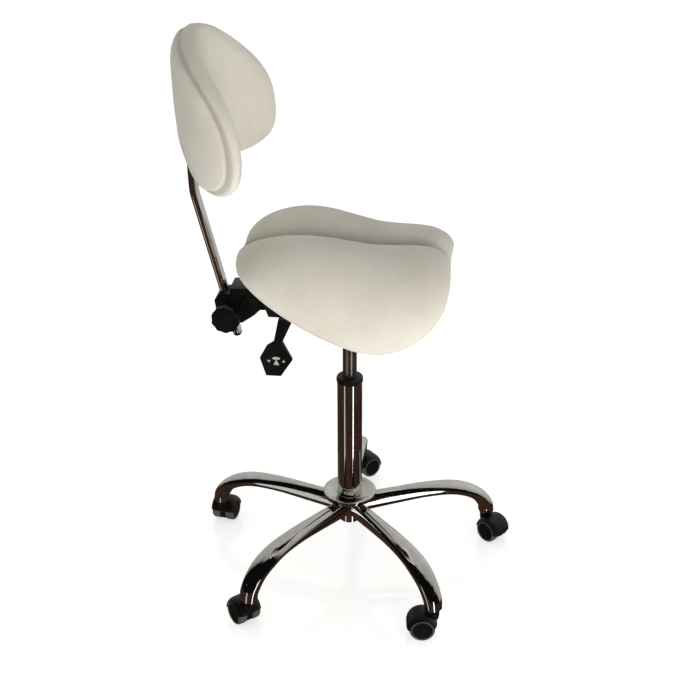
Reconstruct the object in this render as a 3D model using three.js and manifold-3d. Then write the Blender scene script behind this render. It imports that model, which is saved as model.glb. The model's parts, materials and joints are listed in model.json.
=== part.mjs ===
// Pedicure stool: a saddle seat with a wrap-around backrest on a gas column and a
// five-arm castor base. Millimetres, +Z up, the front of the seat looks along -Y,
// +X is the sitter's left. The design is laid out around the column's axis on the
// floor; the last lines move it so that the origin is the middle of its footprint.
import * as THREE from 'three';
import { mergeVertices } from 'three/addons/utils/BufferGeometryUtils.js';
import Module from 'manifold-3d';

// ---------------------------------------------------------------- driving sizes
const GAP = 0.3;                    // clearance between touching pieces
const RUN = 0.4;                    // clearance of pieces that turn or slide

// base
const ARM_FIRST_ANGLE = 20.2;       // degrees from the front, towards +X
const ARM_COUNT = 5;
const CASTOR_RADIUS = 305;          // column axis to castor stem
const ARM_END_Z = 61;               // underside of an arm's end
const ARM_WALL = 2.2;
const HUB = { bottomZ: 93, topZ: 152, bottomR: 21.6, topR: 23.6, wall: 2 };
const DISH = { rimR: 55, rimZ: 164, skirt: 9, wall: 2.4, wellR: 25.6, wellZ: 153 };

// castors: twin wheels under a hood
const WHEEL_R = 25;
const WHEEL_WIDTH = 19;
const WHEEL_SIDES = 20;
const WEB = 11;                     // hood's middle web between the wheels
const HOOD_R = 29;
const TRAIL = 21;                   // stem to axle, level
const STEM_R = 5.5;
const STEM_DEPTH = 40;
const AXLE_R = 4;
const CASTOR_HEADINGS = [319.4, 42, 78.4, 131.4, 186.4];   // where each pair of wheels trails

// gas column
const COLUMN_R = 25;
const COLUMN_TOP_Z = 420;
const COLUMN_FLOOR_Z = 97;
const COLLAR_R = 26.5;
const COLLAR_TOP_Z = 431;
const GAS_R = 14;
const GAS_BOTTOM_Z = 312;
const GAS_TOP_Z = 628;
const ROD_R = 5;

// seat and its mechanism
const SEAT = { rear: -210, front: 196, halfWidth: 157, droop: 139, tipAhead: 26, tailAhead: 12 };
const HOUSING = { halfWidth: 42, rear: -162, front: 50, bottomZ: 571, topZ: 644.7, wall: 2.5 };
const PLATE = { halfWidth: 75, rear: -118, front: 88, z: 645, thick: 3 };
const BOARD_THICK = 11;
const LEVER_Z = 637.5;
const LEVER_R = 4;

// back support, leaning bar
const BAR_LEAN = 13.6;              // degrees from upright
const BAR_HALF_WIDTH = 15;
const BAR_HALF_DEPTH = 7.5;
const BAR_LOW = { f: -222.5, z: 519 };
const BAR_BEND_Z = 806;
const BAR_TOP_Z = 958;
const PIVOT = { f: -201, z: 591 };
const CLAMP = { f: -231.5, z: 569 };
const CHEEK = { halfWidth: 27, wall: 4 };
const BRACKET_BOLT = { f: -128, z: 606 };
const BOLT_R = 5;

// backrest: a board bent round an upright arc, padded on both sides
const BACK = {
  arcF: -75, arcR: 208, halfAngle: 61.5, midZ: 981, halfHeight: 131, wingDrop: 55,
  lean: 0.09, curl: 0.0043, curlZ: 1050, board: 7, glue: 3,
};

// ---------------------------------------------------------------- colours
const IVORY = { color: 0xe9e5da, roughness: 0.55, metalness: 0 };
const CHROME = { color: 0xc8c8c4, roughness: 0.08, metalness: 1 };
const BLACK_STEEL = { color: 0x171717, roughness: 0.5, metalness: 0.3 };
const BLACK_PLASTIC = { color: 0x191919, roughness: 0.45, metalness: 0 };
const GREY_TREAD = { color: 0x4a4a48, roughness: 0.6, metalness: 0 };
const STEEL = { color: 0x9a9a98, roughness: 0.35, metalness: 1 };
const RUBBER = { color: 0x101010, roughness: 0.85, metalness: 0 };
const PLYWOOD = { color: 0xb28b5c, roughness: 0.7, metalness: 0 };

// ---------------------------------------------------------------- helpers
const wasm = await Module();
wasm.setup();
const stool = new THREE.Group();
const rad = THREE.MathUtils.degToRad;

/** A closed geometry with shared corners, position only. */
function plain(geometry) {
  const bare = geometry.clone();
  bare.deleteAttribute('normal');
  bare.deleteAttribute('uv');
  return mergeVertices(bare, 1e-4);
}

/** Each corner of a geometry goes where fn(x, y, z) says. */
function moved(geometry, fn) {
  const out = plain(geometry);
  const at = out.attributes.position;
  for (let i = 0; i < at.count; i += 1) {
    const [x, y, z] = fn(at.getX(i), at.getY(i), at.getZ(i));
    at.setXYZ(i, x, y, z);
  }
  return out;
}

function toSolid(geometry) {
  const g = plain(geometry);
  const mesh = new wasm.Mesh({
    numProp: 3,
    vertProperties: new Float32Array(g.attributes.position.array),
    triVerts: new Uint32Array(g.index.array),
  });
  return new wasm.Manifold(mesh);
}

function fromSolid(solid) {
  const mesh = solid.getMesh();
  const g = new THREE.BufferGeometry();
  g.setAttribute('position', new THREE.BufferAttribute(new Float32Array(mesh.vertProperties), 3));
  g.setIndex(new THREE.BufferAttribute(new Uint32Array(mesh.triVerts), 1));
  return g;
}

/** The first geometry with the others cut out of it. */
function cut(body, ...tools) {
  let solid = toSolid(body);
  for (const tool of tools) solid = solid.subtract(toSolid(tool));
  return fromSolid(solid);
}

function join(...bodies) {
  let solid = toSolid(bodies[0]);
  for (const body of bodies.slice(1)) solid = solid.add(toSolid(body));
  return fromSolid(solid);
}

/** A turned piece about Z from a closed list of [radius, height] corners. */
function turned(profile, sides = 24) {
  const points = profile.map(([r, z]) => new THREE.Vector2(r, z));
  return new THREE.LatheGeometry(points, sides).rotateX(Math.PI / 2);
}

/** An upright solid cylinder from z0 to z1. */
function post(r, z0, z1, sides = 16) {
  const g = new THREE.CylinderGeometry(r, r, z1 - z0, sides);
  return g.rotateX(Math.PI / 2).translate(0, 0, (z0 + z1) / 2);
}

/** A solid cylinder along X from x0 to x1, centred on (y, z). */
function crossPost(r, x0, x1, y, z, sides = 16) {
  const g = new THREE.CylinderGeometry(r, r, x1 - x0, sides);
  return g.rotateZ(Math.PI / 2).translate((x0 + x1) / 2, y, z);
}

/** A box given by its lowest and highest corners. */
function block(low, high) {
  const size = high.map((v, i) => v - low[i]);
  const middle = high.map((v, i) => (v + low[i]) / 2);
  return new THREE.BoxGeometry(...size).translate(...middle);
}

/** A side-view outline of [forward, height] corners, given a width from x0 to x1. */
function sideCut(corners, x0, x1) {
  const shape = new THREE.Shape(corners.map(([f, z]) => new THREE.Vector2(-f, z)));
  const g = new THREE.ExtrudeGeometry(shape, { depth: x1 - x0, bevelEnabled: false });
  return g.rotateX(Math.PI / 2).rotateZ(Math.PI / 2).translate(x0, 0, 0);
}

/** An oval or round section swept along a curve. */
function swept(curve, halfWidth, halfHeight, steps, sides) {
  const ring = new THREE.EllipseCurve(0, 0, halfHeight, halfWidth).getPoints(sides).slice(0, sides);
  const shape = new THREE.Shape(ring);
  return new THREE.ExtrudeGeometry(shape, { steps, extrudePath: curve });
}

function add(name, geometry, finish, parent = stool) {
  const g = plain(geometry);
  g.computeVertexNormals();
  const mesh = new THREE.Mesh(g, new THREE.MeshStandardMaterial(finish));
  mesh.name = name;
  parent.add(mesh);
  return mesh;
}

/** Smooth reading of a table of [x, y] rows: a curve that passes through every row. */
function along(table, x) {
  const last = table.length - 1;
  if (x <= table[0][0]) return table[0][1];
  if (x >= table[last][0]) return table[last][1];
  const i = table.findIndex((row) => x <= row[0]) - 1;
  const slope = (k) => {
    const before = table[Math.max(0, k - 1)];
    const after = table[Math.min(last, k + 1)];
    return (after[1] - before[1]) / (after[0] - before[0]);
  };
  const width = table[i + 1][0] - table[i][0];
  const t = (x - table[i][0]) / width;
  const values = table[i][1] * (1 + 2 * t) * (1 - t) ** 2 + table[i + 1][1] * t * t * (3 - 2 * t);
  const bends = slope(i) * t * (1 - t) ** 2 - slope(i + 1) * t * t * (1 - t);
  return values + width * bends;
}

const power = (v, n) => Math.sign(v) * Math.abs(v) ** n;

// ---------------------------------------------------------------- base
function hubSocket() {
  const { bottomZ, topZ, bottomR, topR, wall } = HUB;
  return turned([
    [bottomR - wall, bottomZ], [bottomR, bottomZ], [topR, topZ],
    [topR - wall, topZ], [bottomR - wall, bottomZ],
  ]);
}

function hubDish() {
  const { rimR, rimZ, skirt, wall, wellR, wellZ } = DISH;
  return turned([
    [wellR, wellZ], [wellR + 6, wellZ], [rimR - wall - 1, rimZ - 4], [rimR - wall, rimZ - skirt],
    [rimR, rimZ - skirt], [rimR, rimZ - 2], [rimR - 3, rimZ], [rimR - 7, rimZ - 1],
    [wellR + 5, wellZ + wall + 1], [wellR, wellZ + wall + 1], [wellR, wellZ],
  ], 28);
}

/** Arm's centre line, radius against height, from the hub to the castor's stem. */
const armCurve = new THREE.CatmullRomCurve3([
  new THREE.Vector3(16, 0, 127), new THREE.Vector3(90, 0, 132), new THREE.Vector3(165, 0, 136),
  new THREE.Vector3(228, 0, 131), new THREE.Vector3(272, 0, 111),
  new THREE.Vector3(298, 0, 82), new THREE.Vector3(305, 0, ARM_END_Z + 0.5),
]);
const ARM_HALF_WIDTH = [[0, 13.2], [0.06, 13.6], [0.3, 16], [0.72, 22], [0.85, 20], [1, 17]];
const ARM_HALF_DEPTH = [[0, 21], [0.3, 17], [0.62, 12], [0.8, 12], [1, 16]];

/** An arm: a flat-oval tube whose depth falls and whose width grows towards its bend. */
function armForm(shrink, start, end) {
  const blank = new THREE.CylinderGeometry(1, 1, 1, 12, 9);
  return moved(blank, (x, y, z) => {
    const t = THREE.MathUtils.lerp(start, end, y + 0.5);
    const way = armCurve.getTangentAt(Math.max(0, t));
    const at = armCurve.getPointAt(Math.max(0, t)).addScaledVector(way, Math.min(0, t) * 300);
    const w = (along(ARM_HALF_WIDTH, t) - shrink) * power(x, 0.86);
    const h = (along(ARM_HALF_DEPTH, t) - shrink) * power(z, 0.86);
    return [at.x - h * way.z, -w, at.z + h * way.x];
  });
}

function arm() {
  const hubHole = post(HUB.topR + GAP, 60, 200, 20);
  const stemHole = post(STEM_R + GAP, 0, ARM_END_Z + STEM_DEPTH, 12).translate(CASTOR_RADIUS, 0, 0);
  const underCut = block([250, -60, 0], [360, 60, ARM_END_Z]);
  const tube = cut(armForm(0, 0, 1), armForm(ARM_WALL, -0.02, 0.86), hubHole);
  return cut(tube, stemHole, underCut);
}

// ---------------------------------------------------------------- castors
/** Hood in its own frame: stem on the axis, wheels trailing along -Y. */
function hood() {
  const width = 2 * WHEEL_WIDTH + WEB + 2 * RUN;
  const outer = crossPost(HOOD_R, -width / 2, width / 2, -TRAIL, WHEEL_R, 20);
  const neck = post(14, WHEEL_R - 4, ARM_END_Z - 1.2, 14);
  const nose = crossPost(17, -14, 14, -2, WHEEL_R + 12, 14);
  const pocket = (side) => crossPost(
    WHEEL_R + 1.2, side > 0 ? WEB / 2 : -width, side > 0 ? width : -WEB / 2, -TRAIL, WHEEL_R, 20);
  const below = block([-60, -100, -20], [60, 60, 17])
    .rotateX(rad(-12));
  const stemHole = post(STEM_R + GAP, 20, 90, 12);
  const axleHole = crossPost(AXLE_R + GAP, -40, 40, -TRAIL, WHEEL_R, 12);
  return cut(join(outer, neck, nose), pocket(1), pocket(-1), below, stemHole, axleHole);
}

/** Grip-neck stem: a pin with a collar that bears under the arm. */
function stem() {
  const top = ARM_END_Z + STEM_DEPTH - 2;
  return turned([
    [0, WHEEL_R + 9], [STEM_R, WHEEL_R + 9], [STEM_R, top - 8], [STEM_R - 1, top - 6],
    [STEM_R, top - 4], [STEM_R - 1.5, top], [0, top],
  ], 10);
}

function axle() {
  const half = WEB / 2 + WHEEL_WIDTH - 3;
  return crossPost(AXLE_R, -half, half, -TRAIL, WHEEL_R, 12);
}

/** A wheel: treaded disc with a bore that stops short of its outer face. */
function wheel(side) {
  const inner = WEB / 2 + RUN;
  const outer = inner + WHEEL_WIDTH;
  const half = Math.PI / WHEEL_SIDES;
  const rim = WHEEL_R / Math.cos(half);            // flats touch the floor, not corners
  const body = turned([
    [0, inner], [rim - 1.5, inner], [rim, inner + 1.5], [rim, outer - 3], [rim - 3.5, outer],
    [0, outer],
  ], WHEEL_SIDES);
  const bore = post(AXLE_R + GAP, inner - 1, outer - 3 - RUN + 0.8, 12);
  const disc = cut(body.rotateZ(half), bore);
  disc.rotateY(Math.PI / 2);
  if (side < 0) disc.rotateZ(Math.PI);
  return disc.translate(0, -TRAIL, WHEEL_R);
}

function castor(index) {
  const angle = rad(ARM_FIRST_ANGLE + index * 360 / ARM_COUNT);
  const seat = new THREE.Group();
  seat.position.set(CASTOR_RADIUS * Math.sin(angle), -CASTOR_RADIUS * Math.cos(angle), 0);
  seat.rotation.z = rad(CASTOR_HEADINGS[index]);
  const label = `castor_${index + 1}`;
  add(`${label}_stem`, stem(), STEEL, seat);
  add(`${label}_hood`, hood(), BLACK_PLASTIC, seat);
  add(`${label}_axle`, axle(), STEEL, seat);
  add(`${label}_wheel_left`, wheel(1), GREY_TREAD, seat);
  add(`${label}_wheel_right`, wheel(-1), GREY_TREAD, seat);
  stool.add(seat);
}

// ---------------------------------------------------------------- gas column
/** Outer tube: straight above the dish, tapered below it to wedge in the hub. */
function columnTube() {
  const taperTop = HUB.topR - HUB.wall - GAP;
  const taperBottom = HUB.bottomR - HUB.wall - GAP;
  return turned([
    [ROD_R + 1.2, COLUMN_FLOOR_Z], [taperBottom, COLUMN_FLOOR_Z], [taperTop, HUB.topZ],
    [COLUMN_R, DISH.wellZ + 6], [COLUMN_R, COLUMN_TOP_Z], [COLUMN_R - 1.8, COLUMN_TOP_Z],
    [COLUMN_R - 1.8, DISH.wellZ + 9], [taperTop - 2, HUB.topZ + 2], [taperBottom - 2, COLUMN_FLOOR_Z + 4],
    [ROD_R + 1.2, COLUMN_FLOOR_Z + 4], [ROD_R + 1.2, COLUMN_FLOOR_Z],
  ], 24);
}

/** Plastic guide bush with the collar that caps the outer tube. */
function guideBush() {
  const sleeve = COLUMN_R - 1.8 - GAP;
  const bore = GAS_R + RUN;
  return turned([
    [bore, COLUMN_TOP_Z - 62], [sleeve, COLUMN_TOP_Z - 62], [sleeve, COLUMN_TOP_Z + GAP],
    [COLLAR_R, COLUMN_TOP_Z + GAP], [COLLAR_R, COLLAR_TOP_Z - 4], [COLLAR_R - 2, COLLAR_TOP_Z - 1],
    [COLLAR_R - 4, COLLAR_TOP_Z], [bore, COLLAR_TOP_Z], [bore, COLUMN_TOP_Z - 62],
  ], 24);
}

function ring(inner, outer, z0, z1, sides = 20) {
  return turned([[inner, z0], [outer, z0], [outer, z1], [inner, z1], [inner, z0]], sides);
}

/** Gas spring's pressure tube, open below round the rod and above for the release pin. */
function gasCylinder() {
  const wall = 1.6;
  return turned([
    [ROD_R + RUN, GAS_BOTTOM_Z], [GAS_R - 1, GAS_BOTTOM_Z], [GAS_R, GAS_BOTTOM_Z + 1],
    [GAS_R, GAS_TOP_Z - 44], [GAS_R - 1, GAS_TOP_Z], [4.4, GAS_TOP_Z], [4.4, GAS_TOP_Z - 16],
    [GAS_R - wall - 1, GAS_TOP_Z - 16], [GAS_R - wall, GAS_TOP_Z - 44], [GAS_R - wall, GAS_BOTTOM_Z + 8],
    [ROD_R + RUN, GAS_BOTTOM_Z + 8], [ROD_R + RUN, GAS_BOTTOM_Z],
  ], 20);
}

function pistonRod() {
  const top = GAS_BOTTOM_Z + 90;
  return turned([
    [0, COLUMN_FLOOR_Z - 4], [ROD_R, COLUMN_FLOOR_Z - 4], [ROD_R, COLUMN_FLOOR_Z - 1.6],
    [ROD_R - 1, COLUMN_FLOOR_Z - 1.6], [ROD_R - 1, COLUMN_FLOOR_Z - 0.4],
    [ROD_R, COLUMN_FLOOR_Z - 0.4], [ROD_R, top - 10], [GAS_R - 2.2, top - 10], [GAS_R - 2.2, top], [0, top],
  ], 16);
}

// ---------------------------------------------------------------- mechanism under the seat
/** A folded steel channel, open upwards, that carries the column's socket. */
function housing() {
  const { halfWidth, rear, front, bottomZ, topZ, wall } = HOUSING;
  const side = sideCut([
    [rear, bottomZ + 30], [rear + 10, bottomZ], [front - 22, bottomZ], [front, bottomZ + 26],
    [front, topZ], [rear, topZ],
  ], -halfWidth, halfWidth);
  const inside = block(
    [-halfWidth + wall, -front - 9, bottomZ + wall], [halfWidth - wall, -rear + 9, topZ + 9]);
  const socketHole = post(18 + GAP, bottomZ - 5, bottomZ + 9, 24);
  const leverSlot = block([-halfWidth - 5, -9, LEVER_Z - 8], [-halfWidth + 6, 9, topZ + 1]);
  const pivotHole = crossPost(BOLT_R + GAP, -60, 60, -BRACKET_BOLT.f, BRACKET_BOLT.z, 12);
  return cut(side, inside, socketHole, leverSlot, pivotHole);
}

function mechanismPlate() {
  const { halfWidth, rear, front, z, thick } = PLATE;
  const shape = new THREE.Shape();
  const r = 16;
  shape.moveTo(-halfWidth + r, -front);
  shape.lineTo(halfWidth - r, -front);
  shape.absarc(halfWidth - r, -front + r, r, -Math.PI / 2, 0, false);
  shape.absarc(halfWidth - r, -rear - r, r, 0, Math.PI / 2, false);
  shape.absarc(-halfWidth + r, -rear - r, r, Math.PI / 2, Math.PI, false);
  shape.absarc(-halfWidth + r, -front + r, r, Math.PI, 1.5 * Math.PI, false);
  for (const sx of [-1, 1]) {
    for (const f of [rear + 20, front - 20]) {
      const hole = new THREE.Path();
      hole.absarc(sx * (halfWidth - 14), -f, 3.4, 0, 2 * Math.PI, true);
      shape.holes.push(hole);
    }
  }
  const g = new THREE.ExtrudeGeometry(shape, { depth: thick, bevelEnabled: false, curveSegments: 5 });
  return g.translate(0, 0, z);
}

function taperSocket() {
  const low = HOUSING.bottomZ - 6;
  return turned([
    [GAS_R + GAP, low], [18, low], [18, GAS_TOP_Z - 4], [GAS_R - 0.4, GAS_TOP_Z - 4],
    [GAS_R + GAP, GAS_TOP_Z - 44], [GAS_R + GAP, low],
  ], 24);
}

// lever: a bent rod with a moulded paddle that hangs below the seat's edge
const PADDLE = { x: -125, f: -121, topZ: 607, neckZ: 564, lowZ: 492 };
const LEVER_OUTER = [new THREE.Vector3(-78, 40, 624), new THREE.Vector3(-117, 106, 602)];

/** The bent rod; its outer end is drawn out along a direction when one is given. */
function leverRodForm(radius, longer = new THREE.Vector3()) {
  const route = new THREE.CatmullRomCurve3([
    new THREE.Vector3(6, 0, LEVER_Z), new THREE.Vector3(-48, 2, LEVER_Z),
    LEVER_OUTER[0], LEVER_OUTER[1].clone().addScaledVector(longer, GAP),
  ]);
  return swept(route, radius, radius, 12, 10);
}

function leverPaddle() {
  const { x, topZ, neckZ, lowZ, f } = PADDLE;
  const blade = sideCut([
    [f - 6, neckZ - 2], [f - 20, neckZ - 12], [f - 33, neckZ - 36], [f - 22, lowZ],
    [f + 6, lowZ], [f + 28, neckZ - 38], [f + 15, neckZ - 12], [f + 10, neckZ - 2],
    [f + 30, topZ], [f + 4, topZ + 3],
  ], x - 4.5, x + 4.5);
  const [near, end] = LEVER_OUTER;
  const way = end.clone().sub(near).normalize();
  const boss = swept(new THREE.LineCurve3(
    end.clone().addScaledVector(way, -22), end.clone().addScaledVector(way, 7)), 8, 8, 1, 12);
  return cut(join(blade, boss), leverRodForm(LEVER_R + GAP, way));
}

// ---------------------------------------------------------------- seat
const CREST = [[-216, 730], [-165, 750], [-100, 760], [-40, 753], [45, 732], [95, 732], [145, 738], [194, 737]];
const BELLY = [[-216, 668], [-150, 664], [0, 661], [120, 661], [194, 640]];
const DROOP_SHARE = [[-216, 0.4], [-130, 0.66], [50, 1], [194, 1]];
const LOBE_CREST = [[-216, 95], [-100, 92], [45, 60], [140, 34], [194, 32]];   // off the centre line
const VALLEY = [[-216, 30], [-100, 37], [45, 21], [140, 18], [194, 22]];       // depth between the lobes
const CREASE = { depth: 8, width: 7 };
const BEND_POWER = 1.45;

/** The seat's lens-shaped section bent over the hips: s runs from side to side. */
function seatPoint(s, b, c) {
  const t = Math.abs(s);
  const full = (1 - t ** 3.4) ** (1 / 2.6);
  const ahead = THREE.MathUtils.lerp(SEAT.tailAhead, SEAT.tipAhead, (b + 1) / 2) * t * t;
  const f = (SEAT.rear + SEAT.front) / 2 + ahead + b * full * (SEAT.front - SEAT.rear) / 2;
  const crest = along(CREST, f);
  const belly = along(BELLY, f);
  const half = (crest - belly) / 2 * full * c;
  const droop = SEAT.droop * along(DROOP_SHARE, f);
  const bend = t * Math.PI / 2;
  const out = SEAT.halfWidth * Math.sin(bend);
  const down = droop * (1 - Math.cos(bend)) ** BEND_POWER;
  const tx = SEAT.halfWidth * Math.cos(bend) + 1e-6;
  const tz = -droop * BEND_POWER * (1 - Math.cos(bend)) ** (BEND_POWER - 1) * Math.sin(bend);
  const long = Math.hypot(tx, tz);
  const inner = Math.max(0, 1 - out / along(LOBE_CREST, f));
  const crease = CREASE.depth * Math.exp(-((out / CREASE.width) ** 2));
  const groove = Math.max(0, c) * (along(VALLEY, f) * inner ** 1.3 + crease);
  const x = out + half * -tz / long;
  const z = (crest + belly) / 2 - down + half * tx / long - groove;
  return [Math.sign(s) * x, -f, z];
}

function seatCushion() {
  const ball = new THREE.SphereGeometry(1, 24, 26);
  return moved(ball, (x, y, z) => {
    const round = Math.hypot(x, z);
    const b = round > 1e-6 ? x / round : 1;
    const c = round > 1e-6 ? z / round : 0;
    const n = 2.5;
    const square = (Math.abs(b) ** n + Math.abs(c) ** n) ** (-1 / n);
    return seatPoint(y, b * square, c * square);
  });
}

/** The moulded base board; the cushion's recess is the same oval drawn larger and deeper. */
function seatBoard(grow = 0) {
  const shape = new THREE.Shape();
  shape.absellipse(0, 15, 98 + grow, 118 + grow, 0, 2 * Math.PI, false, 0);
  const depth = BOARD_THICK + 30 * grow;
  const g = new THREE.ExtrudeGeometry(shape, { depth, bevelEnabled: false, curveSegments: 12 });
  return g.translate(0, 0, PLATE.z + PLATE.thick + GAP + BOARD_THICK + grow - depth);
}

// ---------------------------------------------------------------- back support
/** Two cheeks under a roof, bolted in the housing's rear end. */
function backBracket() {
  const outer = CHEEK.halfWidth;
  const form = sideCut([
    [-108, 578], [-108, 626], [-150, 626], [-196, 621], [-228, 620], [-228, 596], [-214, 549],
    [-206, 549], [-182, 566], [-170, 578],
  ], -outer, outer);
  const inside = block([-outer + CHEEK.wall, 90, 500], [outer - CHEEK.wall, 260, 616]);
  const pinHole = crossPost(BOLT_R + GAP, -60, 60, -PIVOT.f, PIVOT.z, 12);
  const boltHole = crossPost(BOLT_R + GAP, -60, 60, -BRACKET_BOLT.f, BRACKET_BOLT.z, 12);
  return cut(form, inside, pinHole, boltHole);
}

/** A bolt across the bracket at (f, z): hexagon head on one side, nut on the other. */
function headedPin(half, { f, z }) {
  const shank = crossPost(BOLT_R, -half, half, -f, z, 12);
  const head = crossPost(8, -half - 5, -half, -f, z, 6);
  const nut = crossPost(8, half, half + 5, -f, z, 6);
  return join(shank, head, nut);
}

/** Bar's centre line: straight and leaning, then bent upright behind the pad. */
function barPoint(z) {
  const slope = Math.tan(rad(BAR_LEAN));
  const straight = BAR_LOW.f - (z - BAR_LOW.z) * slope;
  const over = Math.max(0, z - BAR_BEND_Z + 8);
  return straight + slope * over * over / (over + 14);
}

/** A flat-oval rod that follows the bar between two heights. */
function barForm(grow, z0, z1, steps = 9) {
  const blank = new THREE.CylinderGeometry(1, 1, 1, 14, steps);
  const lean = rad(BAR_LEAN);
  return moved(blank, (x, y, z) => {
    const height = THREE.MathUtils.lerp(z0, z1, y + 0.5);
    const w = (BAR_HALF_WIDTH + grow) * power(x, 0.8);
    const d = (BAR_HALF_DEPTH + grow) / Math.cos(lean) * power(z, 0.8);
    return [w, -barPoint(height) - d, height];
  });
}

/** Clamp block that pivots between the cheeks and holds the bar. */
function barClamp() {
  const outer = CHEEK.halfWidth - CHEEK.wall - RUN;
  const form = sideCut([
    [-190, 583], [-190, 599], [-196, 606], [-222, 606], [-249, 607], [-260, 592], [-257, 571],
    [-246, 549], [-214, 549], [-206, 565],
  ], -outer, outer);
  const pinHole = crossPost(BOLT_R + GAP, -60, 60, -PIVOT.f, PIVOT.z, 12);
  const screwHole = crossPost(BOLT_R + GAP, -60, -BAR_HALF_WIDTH, -CLAMP.f, CLAMP.z, 12);
  return cut(form, barForm(GAP, 480, 680, 4), pinHole, screwHole);
}

function clampScrew() {
  return crossPost(BOLT_R, -52, -BAR_HALF_WIDTH - 3.5, -CLAMP.f, CLAMP.z, 12);
}

/** Lobed hand knob with a hub towards the clamp. */
function clampKnob() {
  const shape = new THREE.Shape();
  const lobes = 9;
  const points = lobes * 4;
  for (let i = 0; i < points; i += 1) {
    const a = i / points * 2 * Math.PI;
    const r = 25.2 + 0.8 * Math.cos(lobes * a);
    if (i === 0) shape.moveTo(r * Math.cos(a), r * Math.sin(a));
    else shape.lineTo(r * Math.cos(a), r * Math.sin(a));
  }
  const grip = new THREE.ExtrudeGeometry(shape, {
    depth: 13, bevelEnabled: true, bevelThickness: 3, bevelSize: 3, bevelSegments: 1,
  }).rotateY(-Math.PI / 2).translate(-50, -CLAMP.f, CLAMP.z);
  const hub = crossPost(11, -49, -31, -CLAMP.f, CLAMP.z, 16);
  const bore = crossPost(BOLT_R + GAP, -52 - GAP, -20, -CLAMP.f, CLAMP.z, 12);
  return cut(join(grip, hub), bore);
}

function clampShoe() {
  return crossPost(4.4, -BAR_HALF_WIDTH - 3.2, -BAR_HALF_WIDTH - 0.6, -CLAMP.f, CLAMP.z, 12);
}

function backBar() {
  const inner = barForm(-1.8, BAR_LOW.z - 5, BAR_TOP_Z - 3);
  return cut(barForm(0, BAR_LOW.z, BAR_TOP_Z), inner);
}

function barPlug() {
  return join(
    barForm(-1.8 - GAP, BAR_LOW.z, BAR_LOW.z + 14, 2),
    barForm(-0.4, BAR_LOW.z - 5, BAR_LOW.z - GAP, 1),
    barForm(-3, BAR_LOW.z - 2, BAR_LOW.z + 2, 1));
}

// ---------------------------------------------------------------- backrest
/** A point of the bent pad: u side to side, v up, both -1 to 1; forward is in front of the board. */
function backPoint(u, v, forward) {
  const z = BACK.midZ - BACK.wingDrop * Math.abs(u) ** 1.6 + v * BACK.halfHeight;
  const angle = rad(BACK.halfAngle) * u;
  const r = BACK.arcR - forward;
  const upright = BACK.lean * (0.6 + 0.4 * Math.cos(angle));
  const lean = upright * (BACK.curlZ - z) + BACK.curl * Math.max(0, z - BACK.curlZ) ** 2;
  return [r * Math.sin(angle), r * Math.cos(angle) - BACK.arcF - lean, z];
}

/** A padded half of the backrest: a dome on one side of the board. */
function backHalf(thick, side, scale) {
  const ball = new THREE.SphereGeometry(1, 32, 14);
  return moved(ball, (x, y, z) => {
    const n = 2.5;
    const flat = Math.hypot(x, y) || 1;
    const square = (Math.abs(x / flat) ** n + Math.abs(y / flat) ** n) ** (-1 / n);
    const spread = Math.min(1, Math.acos(Math.min(1, Math.abs(z))) / (Math.PI / 2));
    const u = x / flat * square * spread * scale;
    const v = y / flat * square * spread * scale;
    const across = Math.sin(rad(BACK.halfAngle) * u) * BACK.arcR;
    const ridge = side < 0 ? (12 - 5 * v) * Math.exp(-((across / 42) ** 2)) : 0;
    const dome = z > 0 ? (thick + ridge) * (1 - spread ** 4) ** (1 / 2.2) : 0;
    const p = backPoint(u, v, side * (BACK.board / 2 + BACK.glue + dome));
    return side > 0 ? p : [-p[0], p[1], p[2]];
  });
}

function backBoard() {
  const ball = new THREE.SphereGeometry(1, 28, 8);
  return moved(ball, (x, y, z) => {
    const flat = Math.hypot(x, y) || 1;
    const spread = Math.min(1, 1.35 * Math.acos(Math.min(1, Math.abs(z))) / (Math.PI / 2));
    const off = Math.abs(z) < 0.5 ? z * BACK.board : Math.sign(z) * BACK.board / 2;
    return backPoint(x / flat * spread * 0.9, y / flat * spread * 0.9, off);
  });
}

// ---------------------------------------------------------------- assembly
add('hub_socket', hubSocket(), CHROME);
add('hub_dish', hubDish(), CHROME);
const armBlank = arm();
for (let i = 0; i < ARM_COUNT; i += 1) {
  const piece = add(`base_arm_${i + 1}`, armBlank, CHROME);
  piece.rotation.z = rad(ARM_FIRST_ANGLE + i * 360 / ARM_COUNT - 90);
}
for (let i = 0; i < ARM_COUNT; i += 1) castor(i);

add('column_tube', columnTube(), CHROME);
add('column_guide_bush', guideBush(), BLACK_PLASTIC);
add('thrust_bearing', ring(ROD_R + RUN, 14, COLUMN_FLOOR_Z + 4 + GAP, COLUMN_FLOOR_Z + 9), STEEL);
add('bump_stop', ring(ROD_R + GAP, 11, COLUMN_FLOOR_Z + 10, COLUMN_FLOOR_Z + 26), RUBBER);
add('piston_rod', pistonRod(), STEEL);
add('retaining_clip', ring(ROD_R - 1 + 0.2, 8.5, COLUMN_FLOOR_Z - 1.5, COLUMN_FLOOR_Z - 0.5, 16), STEEL);
add('gas_cylinder', gasCylinder(), CHROME);
add('release_pin', post(4, GAS_TOP_Z - 10, LEVER_Z - LEVER_R - GAP, 12), STEEL);

add('mechanism_housing', housing(), BLACK_STEEL);
add('mechanism_plate', mechanismPlate(), BLACK_STEEL);
add('taper_socket', taperSocket(), BLACK_STEEL);
add('lever_rod', leverRodForm(LEVER_R), BLACK_STEEL);
add('lever_paddle', leverPaddle(), BLACK_PLASTIC);
add('seat_board', seatBoard(), PLYWOOD);
add('seat_cushion', cut(seatCushion(), seatBoard(0.5)), IVORY);

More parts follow.
